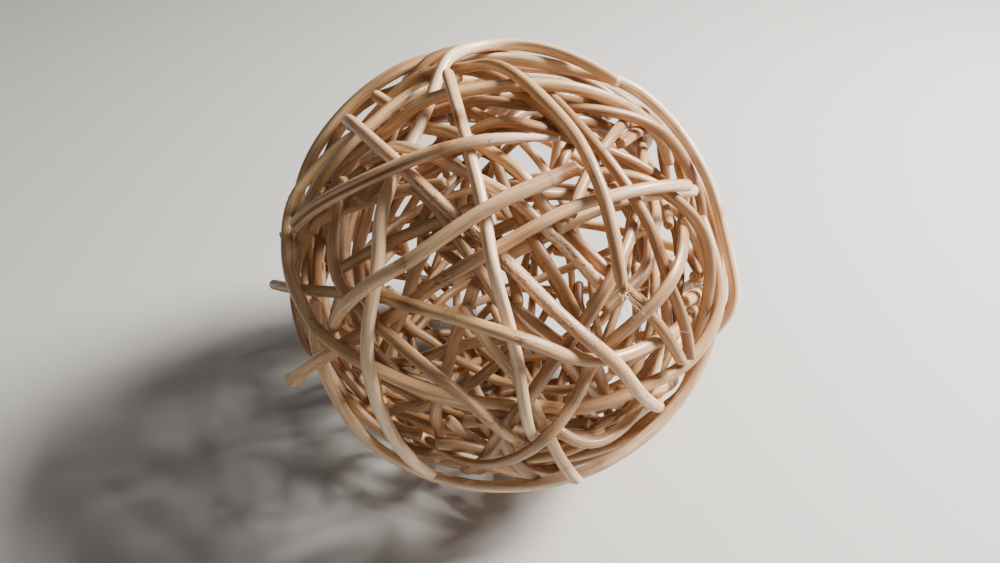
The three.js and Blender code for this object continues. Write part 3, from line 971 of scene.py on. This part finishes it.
@dataclass
class BentStick:
    """A stick on its way into the ball: the curve it is bent along, and its corners so far."""

    curve: Way
    along: np.ndarray  # how far along the rod each point of the curve lies
    turn: np.ndarray  # the way each corner faces round the rod
    across: np.ndarray  # its distance from the rod's middle, as a share of the reach
    run: np.ndarray  # its place along the rod
    chance: np.random.Generator  # the rod's own source of numbers
    joints: np.ndarray = field(default_factory=lambda: np.zeros(0))  # where its joints are

    @property
    def length(self) -> float:
        """The rod's length."""
        return float(self.along[-1])

    def place_of(self, mark: Mark) -> float:
        """How far along the rod its nearest point to a mark lies."""
        from_middle = self.curve.points - BALL_MIDDLE
        facing = from_middle @ mark.towards() / np.linalg.norm(from_middle, axis=1)
        return float(self.along[int(np.argmax(facing))])


@dataclass
class WillowRod:
    """One rod of the ball: a straight stick given its own shape and bent along its way."""

    name: str
    way: Way
    finish: PeeledWillow
    look: Look
    seed: int
    replaces: str | None = None
    ring_spacing_mm: float = 1.6
    blunt_mm: float = 1.1
    point_mm: float = 16.0
    slack_mm: float = 0.35

    def build(
        self, stock: StickStock, skin: bpy.types.Material, cut: bpy.types.Material
    ) -> bpy.types.Object:
        """Builds the rod in its place.

        Args:
            stock: the straight sticks to copy from.
            skin: the material of its skin.
            cut: the material of its cut ends.

        Returns:
            The finished piece.
        """
        curve = self.way.eased(self.slack_mm).smooth(CURVE_STEP_MM)
        gone = round(self.look.left_trim_mm / CURVE_STEP_MM)
        curve = Way(curve.points[gone:], curve.reaches[gone:])
        steps = np.linalg.norm(np.diff(curve.points, axis=0), axis=1)
        along = np.concatenate([[0.0], np.cumsum(steps)])
        length = float(along[-1])
        blank, rings = stock.blank_for(length, self.ring_spacing_mm)
        mesh = blank.copy()
        mesh.name = self.name
        raw = np.empty(len(mesh.vertices) * 3)
        mesh.vertices.foreach_get("co", raw)
        stick = raw.reshape(-1, 3)
        turn = np.arctan2(-stick[:, 0], stick[:, 1])  # so that the faces stay outwards
        across = np.hypot(stick[:, 0], stick[:, 1])
        run = self.heights(stick[:, 2], rings, length)
        bent = BentStick(curve, along, turn, across, run, np.random.default_rng(self.seed))
        bent.joints = self.joints(bent)
        reach = np.interp(run, along, curve.reaches) * self.swell(bent)
        bent.run = self.shape_ends(bent)
        x = across * np.sin(turn) * reach * (1 + 0.3 * self.look.flatness)
        y = across * np.cos(turn) * reach * (1 - self.look.flatness)
        placed = self.bend(bent, x, y)
        placed[:, 2] = np.maximum(placed[:, 2], 0.0)
        mesh.vertices.foreach_set("co", (placed * MM).astype(np.float32).ravel())
        self.write_marks(mesh, bent, x, y)
        mesh.materials.append(skin)
        mesh.materials.append(cut)
        self.dress_ends(mesh, stick)
        mesh.update()
        rod = place_piece(self.name, mesh)
        if self.replaces:
            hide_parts(self.replaces)
        return rod

    @staticmethod
    def heights(height: np.ndarray, rings: int, length: float) -> np.ndarray:
        """Spaces the rings along the rod, closer together towards its ends.

        Args:
            height: the corners' heights on the stick.
            rings: the number of rings.
            length: the rod's length.

        Returns:
            How far along the rod each corner lies.
        """
        close = np.array([0.0, 0.12, 0.32, 0.62, 1.05])
        places = np.linspace(1.9, length - 1.9, rings - 2 * len(close))
        places = np.concatenate([close, places, length - close[::-1]])
        return np.interp(height, np.arange(rings), places)

    def joints(self, bent: BentStick) -> np.ndarray:
        """Finds where the leaf joints are.

        Args:
            bent: the stick.

        Returns:
            How far along the rod each joint lies.
        """
        found = [bent.place_of(mark) for mark in self.look.marks if mark.joint]
        step = bent.chance.uniform(75.0, 130.0)
        place = bent.chance.uniform(15.0, 100.0)
        while place < bent.length - 6.0:
            if all(abs(place - other) > 30.0 for other in found):
                found.append(place)
            place += step * bent.chance.uniform(0.8, 1.25)
        return np.array(sorted(found) or [-50.0])

    def swell(self, bent: BentStick) -> np.ndarray:
        """Makes the rod's thickness uneven, as a grown shoot's is.

        Args:
            bent: the stick.

        Returns:
            What to multiply its reach by at each corner.
        """
        run, turn, look = bent.run, bent.turn, self.look
        phases = bent.chance.uniform(0, 2 * math.pi, 8)
        size = 1 + 0.03 * np.sin(run / 17 + phases[0]) + 0.018 * np.sin(run / 6.1 + phases[1])
        size += 0.036 * np.cos(2 * turn + phases[2] + run / 31)
        size += 0.024 * np.cos(3 * turn + phases[3] - run / 19)
        size += 0.014 * np.cos(5 * turn + phases[4] + run / 13)
        for joint in bent.joints:
            offset = run - joint
            size += 0.05 * np.exp(-((offset / 1.6) ** 2)) - 0.02 * np.exp(-((offset - 4) ** 2) / 6)
        if look.left_flare > 1:
            size *= 1 + (look.left_flare - 1) * np.exp(-((run / 5.5) ** 2))
        if look.split_share > 0:
            size *= 1 - 0.62 * self.split_at(bent)
        for end, distance in ((look.left_end, run), (look.right_end, bent.length - run)):
            if end in (EndCut.ROUNDED, EndCut.SAWN):
                blunt, floor = (self.blunt_mm, 0.55) if end is EndCut.ROUNDED else (0.35, 0.84)
                inside = np.clip(distance / blunt, 0, 1)
                size *= floor + (1 - floor) * np.sqrt(1 - (1 - inside) ** 2)
            elif end is EndCut.POINTED:
                size *= 0.3 + 0.7 * np.clip(distance / self.point_mm, 0, 1) ** 0.7
            elif end is EndCut.BROKEN:
                size *= 0.72 + 0.28 * np.clip(distance / 4.0, 0, 1)
        return size

    def split_at(self, bent: BentStick) -> np.ndarray:
        """How open the split is at each corner, from 0 to 1."""
        reach = self.look.split_share * bent.length
        open_here = np.clip((reach - bent.run) / 18.0, 0, 1) * np.clip(bent.run / 6.0 + 0.4, 0, 1)
        facing = np.cos(bent.turn - math.radians(48))
        return open_here * np.clip((facing - 0.9) / 0.08, 0, 1)

    def shape_ends(self, bent: BentStick) -> np.ndarray:
        """Slants or breaks the ends.

        Args:
            bent: the stick.

        Returns:
            The new place along the rod of each corner.
        """
        run, turn, across, chance = bent.run, bent.turn, bent.across, bent.chance
        shaped = run.copy()
        ends = ((self.look.left_end, run, 1.0), (self.look.right_end, bent.length - run, -1.0))
        for end, distance, inwards in ends:
            near = np.clip(1 - distance / 5.0, 0, 1) ** 1.5
            if end is EndCut.SLANTED:
                slant = chance.uniform(1.0, 1.5) * (1 + across * np.cos(turn - 0.6))
                shaped += inwards * near * slant
            elif end is EndCut.BROKEN:
                teeth = np.sin(turn * 3 + 1.0) + 0.7 * np.sin(turn * 7 + 2.0)
                shaped += inwards * near * (1.2 + 0.9 * across * teeth)
            else:
                tilt = chance.uniform(0.05, 0.4)
                lean = chance.uniform(0, 2 * math.pi)
                shaped += inwards * near * tilt * across * np.cos(turn - lean)
        return shaped

    @staticmethod
    def bend(bent: BentStick, x: np.ndarray, y: np.ndarray) -> np.ndarray:
        """Bends the shaped stick along the rod's way, turning it a little at each joint.

        Args:
            bent: the stick.
            x: each corner's place sideways from the rod's middle.
            y: its place outwards.

        Returns:
            Each corner's place in the ball.
        """
        along = bent.along
        points = bent.curve.points.copy()
        tangents = np.gradient(points, along, axis=0)
        tangents /= np.linalg.norm(tangents, axis=1, keepdims=True)
        outwards = points - BALL_MIDDLE
        outwards -= (outwards * tangents).sum(1)[:, None] * tangents
        outwards /= np.linalg.norm(outwards, axis=1, keepdims=True)
        sideways = np.cross(tangents, outwards)
        for joint in bent.joints:
            knee = np.clip(1 - np.abs(along - joint) / 9.0, 0, 1)
            lean = bent.chance.uniform(-0.2, 0.2)
            points += (knee * knee * (3 - 2 * knee) * lean)[:, None] * sideways
        middle, out, side = (
            np.stack([np.interp(bent.run, along, line[:, k]) for k in range(3)], axis=1)
            for line in (points, outwards, sideways)
        )
        return middle + side * x[:, None] + out * y[:, None]

    def write_marks(
        self, mesh: bpy.types.Mesh, bent: BentStick, x: np.ndarray, y: np.ndarray
    ) -> None:
        """Writes what the materials read: the place on the straight stick, and its marks.

        Args:
            mesh: the rod's mesh.
            bent: the stick.
            x: each corner's place sideways.
            y: its place outwards.
        """
        run, turn, chance, length = bent.run, bent.turn, bent.chance, bent.length
        stain = np.zeros(len(run))
        flecks = np.full(len(run), self.look.flecks)
        for mark in self.look.marks:
            near = np.exp(-(((run - bent.place_of(mark)) / mark.half_length_mm) ** 2))
            side = 0.6 + 0.4 * np.cos(turn - chance.uniform(-1.2, 1.2))
            stain = np.maximum(stain, mark.stain * near * side)
            flecks = np.maximum(flecks, mark.flecks * near)
        for _ in range(chance.integers(1, 4)):
            place, width = chance.uniform(0, length), chance.uniform(2, 9)
            facing = chance.uniform(0, 2 * math.pi)
            near = np.exp(-(((run - place) / width) ** 2)) * (0.5 + 0.5 * np.cos(turn - facing))
            stain = np.maximum(stain, chance.uniform(0.15, 0.6) * near)
        # Painted shade: the split's groove is darkened through the stain layer, in the rust
        # colour, where shade falls in the crack.
        if self.look.split_share > 0:
            stain = np.maximum(stain, 1.3 * self.split_at(bent))
        begins = self.look.bleached_from
        fade = np.clip((run / length - begins) / 0.12, 0, 1) * (0.6 if begins < 1 else 0)
        nearest = bent.joints[np.abs(run[:, None] - bent.joints[None]).argmin(axis=1)]
        offset = chance.uniform(0, 4000)
        tone = self.look.tone + chance.uniform(-0.35, 0.35)
        scalars = {
            "tone": np.full(len(run), tone),
            "stain": stain,
            "fade": fade,
            "flecks": flecks,
            "joint_mm": run - nearest,
        }
        for name, values in scalars.items():
            layer = mesh.attributes.new(name, "FLOAT", "POINT")
            layer.data.foreach_set("value", values.astype(np.float32))
        write_places(mesh, np.stack([x, y, run + offset], axis=1))

    @staticmethod
    def dress_ends(mesh: bpy.types.Mesh, stick: np.ndarray) -> None:
        """Gives the two cut ends the end grain.

        Args:
            mesh: the rod's mesh.
            stick: its corners on the straight stick.
        """
        across = np.hypot(stick[:, 0], stick[:, 1])
        for face in mesh.polygons:
            is_cut = min(across[index] for index in face.vertices) < 0.95
            face.material_index = int(is_cut)


@dataclass
class SplinterTuft:
    """The torn fibres that fan out of a broken end."""

    name: str
    at: np.ndarray
    towards: np.ndarray
    count: int = 22
    longest_mm: float = 8.5
    spread: float = 0.55
    seed: int = 3
    sides: int = 5
    steps: int = 7
    root_mm: float = 0.8  # how far from the rod's middle the fibres are rooted

    def build(self, fibre: bpy.types.Material, slot: str) -> bpy.types.Object:
        """Builds the tuft as one piece, each fibre a copy of one tapered sliver.

        Args:
            fibre: the material of torn wood.
            slot: the record's slot; not used.

        Returns:
            The finished piece.
        """
        chance = np.random.default_rng(self.seed)
        sliver, sliver_faces = self.sliver()
        slivers = []
        for _ in range(self.count):
            length = chance.uniform(0.25, 1.0) * self.longest_mm
            width = chance.uniform(0.09, 0.2)
            aim = self.towards + self.spread * chance.normal(size=3)
            aim /= np.linalg.norm(aim)
            curl = chance.normal(size=3) * 0.16 * length
            side = np.cross(aim, (0.3, 0.5, 0.8))
            side /= np.linalg.norm(side)
            other = np.cross(aim, side)
            base = self.at + self.root_mm * chance.uniform(-1, 1) * side
            base = base + self.root_mm * chance.uniform(-1, 1) * other
            share = sliver[:, 2:3]
            placed = base + aim * share * length + curl * share**2
            placed = placed + side * sliver[:, 0:1] * width + other * sliver[:, 1:2] * width * 0.5
            slivers.append(placed)
        corners = np.vstack(slivers)
        faces = [
            [index + copy * len(sliver) for index in face]
            for copy in range(self.count)
            for face in sliver_faces
        ]
        mesh = bpy.data.meshes.new(self.name)
        mesh.from_pydata((corners * MM).tolist(), [], faces)
        write_places(mesh, corners)
        mesh.materials.append(fibre)
        mesh.shade_smooth()
        return place_piece(self.name, mesh)

    def sliver(self) -> tuple[np.ndarray, list[list[int]]]:
        """Models one sliver from a cone.

        Returns:
            Its corners, with a height from 0 to 1, and its faces.
        """
        bpy.ops.object.select_all(action="DESELECT")
        bpy.ops.mesh.primitive_cone_add(
            vertices=self.sides, radius1=1.0, radius2=0.2, depth=1.0, location=(0, 0, 0.5)
        )
        cone = bpy.context.active_object
        bpy.ops.object.transform_apply(location=True, rotation=True, scale=True)
        bpy.ops.object.mode_set(mode="EDIT")
        part_long_edges(cone, self.steps - 1)
        bpy.ops.object.mode_set(mode="OBJECT")
        corners = np.array([vertex.co[:] for vertex in cone.data.vertices])
        faces = [list(face.vertices) for face in cone.data.polygons]
        mesh = cone.data
        bpy.data.objects.remove(cone)
        bpy.data.meshes.remove(mesh)
        return corners, faces


@dataclass(frozen=True)
class TornFibre:
    """Willow torn along its grain, which bares dry pale fibres with no skin and no sheen."""

    name: str = "torn_willow_fibre"
    pale: str = "e6d3ae"
    dark: str = "b08a5c"

    def material(self) -> bpy.types.Material:
        """Makes the torn wood's material.

        Returns:
            The material.
        """
        made, add = start_material(self.name)
        place = add("Attribute", {}, attribute_name="stick_mm").outputs["Vector"]
        mottle = add("TexNoise", {"Vector": place, "Scale": 0.9, "Detail": 3.0})
        colour = add("ValToRGB", {"Fac": mottle})
        set_stops(colour, (0.35, linear(self.dark)), (0.62, linear(self.pale)))
        wood = add("BsdfPrincipled", {"Base Color": colour, "Roughness": 0.85})
        add("OutputMaterial", {"Surface": wood})
        return made


@dataclass
class WillowBall:
    """The whole ball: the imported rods, the inner rods and the splinters."""

    finishes: tuple[PeeledWillow, ...] = (PALE, HONEY, BROWN, FLECKED)
    # Painted shade: the inner rods mostly take the browner finish to stand in for the shade inside
    # the ball; the real inner rods are the same colour as the outer ones.
    inner_finishes_darkened_for_shade: tuple[PeeledWillow, ...] = (HONEY, BROWN, HONEY, BROWN, BROWN)
    loose_fibres: tuple[tuple[Mark, int, float], ...] = (
        (Mark(-68, 48), 6, 5.0),
        (Mark(57, 65), 7, 4.5),
        (Mark(89, 51), 8, 5.5),
        (Mark(28, 33), 5, 4.0),
        (Mark(-10, 33), 4, 6.5),
        (Mark(39, 17), 5, 6.0),
        (Mark(150, 10), 6, 5.0),
    )

    def build(self) -> None:
        """Builds every piece and reports each."""
        skins = {finish.slot: finish.material() for finish in self.finishes}
        by_slot = {finish.slot: finish for finish in self.finishes}
        cut = CutEndGrain().material()
        stock = StickStock()
        slots = {part["node"]: part["material_slot"] for part in frame["record"]["subparts"]}
        names = sorted(frame["nodes"])
        ways = {name: Way.of_node(frame["nodes"][name]) for name in names}
        for number, name in enumerate(names):
            finish = by_slot[slots[name]]
            look = LOOKS.get(name, Look())
            rod = WillowRod(f"willow_{name}", ways[name], finish, look, 100 + number, name)
            rod.build(stock, skins[finish.slot], cut)
            log.info("%s: %d points", rod.name, len(rod.way.points))
        weave = InnerWeave(hollow=self.hollow())
        for number, way in enumerate(weave.lay([ways[name] for name in names])):
            finish = self.inner_finishes_darkened_for_shade[number % len(self.inner_finishes_darkened_for_shade)]
            name = f"inner_rod_{number + 1:02d}"
            # Painted shade: the raised tone darkens every inner rod towards brown, standing in for
            # the shade deep in the wall.
            rod = WillowRod(name, way, finish, Look(tone=0.35), 300 + number, slack_mm=0.25)
            rod.build(stock, skins[finish.slot], cut)
            log.info("%s: %d points", rod.name, len(rod.way.points))
        self.add_tufts(ways)

    def add_tufts(self, ways: dict[str, Way]) -> None:
        """Adds the torn fibres at the broken end, and the few that hang loose elsewhere.

        Args:
            ways: the way of each packed rod.
        """
        fibre = TornFibre().material()
        broken = ways["splintered_rod"].smooth(CURVE_STEP_MM)
        aim = broken.points[-1] - broken.points[-4]
        aim = aim / np.linalg.norm(aim) + np.array([0.75, -0.1, 0.15])
        end = broken.points[-1] - 0.6 * aim
        tufts = [SplinterTuft("broken_end_splinters", end, aim / np.linalg.norm(aim))]
        places = np.vstack([way.points for way in ways.values()])
        for number, (mark, count, longest) in enumerate(self.loose_fibres):
            wanted = BALL_MIDDLE + mark.towards() * (BALL_RADIUS - 3.5)
            at = places[int(np.linalg.norm(places - wanted, axis=1).argmin())]
            aim = mark.towards() + np.array([0.9, -0.2, -0.5])
            name = f"loose_fibres_{number + 1}"
            tufts.append(
                SplinterTuft(
                    name,
                    at,
                    aim / np.linalg.norm(aim),
                    count=count,
                    longest_mm=longest,
                    spread=0.75,
                    seed=20 + number,
                )
            )
        for tuft in tufts:
            tuft.build(fibre, PALE.slot)
            log.info("%s: %d slivers", tuft.name, tuft.count)

    @staticmethod
    def hollow() -> tuple[np.ndarray, np.ndarray]:
        """The corners of the empty space inside the ball, measured from its middle."""
        low, high = frame["record"]["physics"]["openings"][0]["box_m"]
        return np.array(low) / MM - BALL_MIDDLE, np.array(high) / MM - BALL_MIDDLE


@dataclass
class Studio:
    """A pale floor, soft daylight from the right and behind, and the camera."""

    lens_mm: float = 27.04
    look_down_deg: float = 41.37
    camera_from_middle_mm: tuple[float, float, float] = (-1.65, -157.4, 133.7)
    floor_half_m: float = 4.0
    floor_colour: str = "bfbdba"

    def build(self) -> None:
        """Sets up the floor, the lights and the camera."""
        self.lay_floor()
        self.hang_lights()
        self.place_camera()

    def lay_floor(self) -> None:
        """Lays the plain floor that the ball stands on."""
        bpy.ops.object.select_all(action="DESELECT")
        bpy.ops.mesh.primitive_plane_add(size=2 * self.floor_half_m)
        floor = bpy.context.active_object
        floor.name = "floor"
        made = bpy.data.materials.new("pale_matt_floor")
        made.use_nodes = True
        skin = made.node_tree.nodes["Principled BSDF"]
        skin.inputs["Base Color"].default_value = linear(self.floor_colour)
        skin.inputs["Roughness"].default_value = 0.85
        floor.data.materials.append(made)

    def hang_lights(self) -> None:
        """Hangs one broad light high on the right, a softer one in front, and a pale sky."""
        self.hang_light("window_light", (0.47, 0.12, 0.48), 0.2, 18.5, (1.0, 0.97, 0.92))
        self.hang_light("front_light", (-0.1, -0.75, 0.7), 0.9, 0.9, (0.97, 0.98, 1.0))
        world = bpy.data.worlds.new("pale_sky")
        world.use_nodes = True
        sky = world.node_tree.nodes["Background"]
        sky.inputs["Color"].default_value = (1.0, 0.99, 0.97, 1.0)
        sky.inputs["Strength"].default_value = 0.1
        bpy.context.scene.world = world

    @staticmethod
    def hang_light(
        name: str,
        place: tuple[float, float, float],
        size: float,
        watts: float,
        colour: tuple[float, float, float],
    ) -> None:
        """Hangs one square light that faces the ball.

        Args:
            name: the light's name.
            place: where it hangs, in metres.
            size: the length of its side, in metres.
            watts: its power.
            colour: its colour.
        """
        lamp = bpy.data.lights.new(name, "AREA")
        lamp.shape = "SQUARE"
        lamp.size = size
        lamp.energy = watts
        lamp.color = colour
        hung = bpy.data.objects.new(name, lamp)
        bpy.context.scene.collection.objects.link(hung)
        hung.location = place
        aim = np.array(place) - BALL_MIDDLE * MM
        hung.rotation_euler = (
            math.acos(aim[2] / np.linalg.norm(aim)),
            0.0,
            math.atan2(aim[0], -aim[1]),
        )

    def place_camera(self) -> None:
        """Places the camera in front of the ball, looking down at it."""
        lens = bpy.data.cameras.new("camera")
        lens.lens = self.lens_mm
        lens.sensor_width = 36.0
        lens.clip_start = 0.01
        camera = bpy.data.objects.new("camera", lens)
        bpy.context.scene.collection.objects.link(camera)
        camera.location = (BALL_MIDDLE + np.array(self.camera_from_middle_mm)) * MM
        camera.rotation_euler = (math.radians(90 - self.look_down_deg), 0.0, 0.0)
        bpy.context.scene.camera = camera


def main() -> None:
    """Builds the ball, then the studio round it."""
    logging.basicConfig(level=logging.INFO, format="%(name)s: %(message)s")
    WillowBall().build()
    Studio().build()


if __name__ == "__main__":
    main()
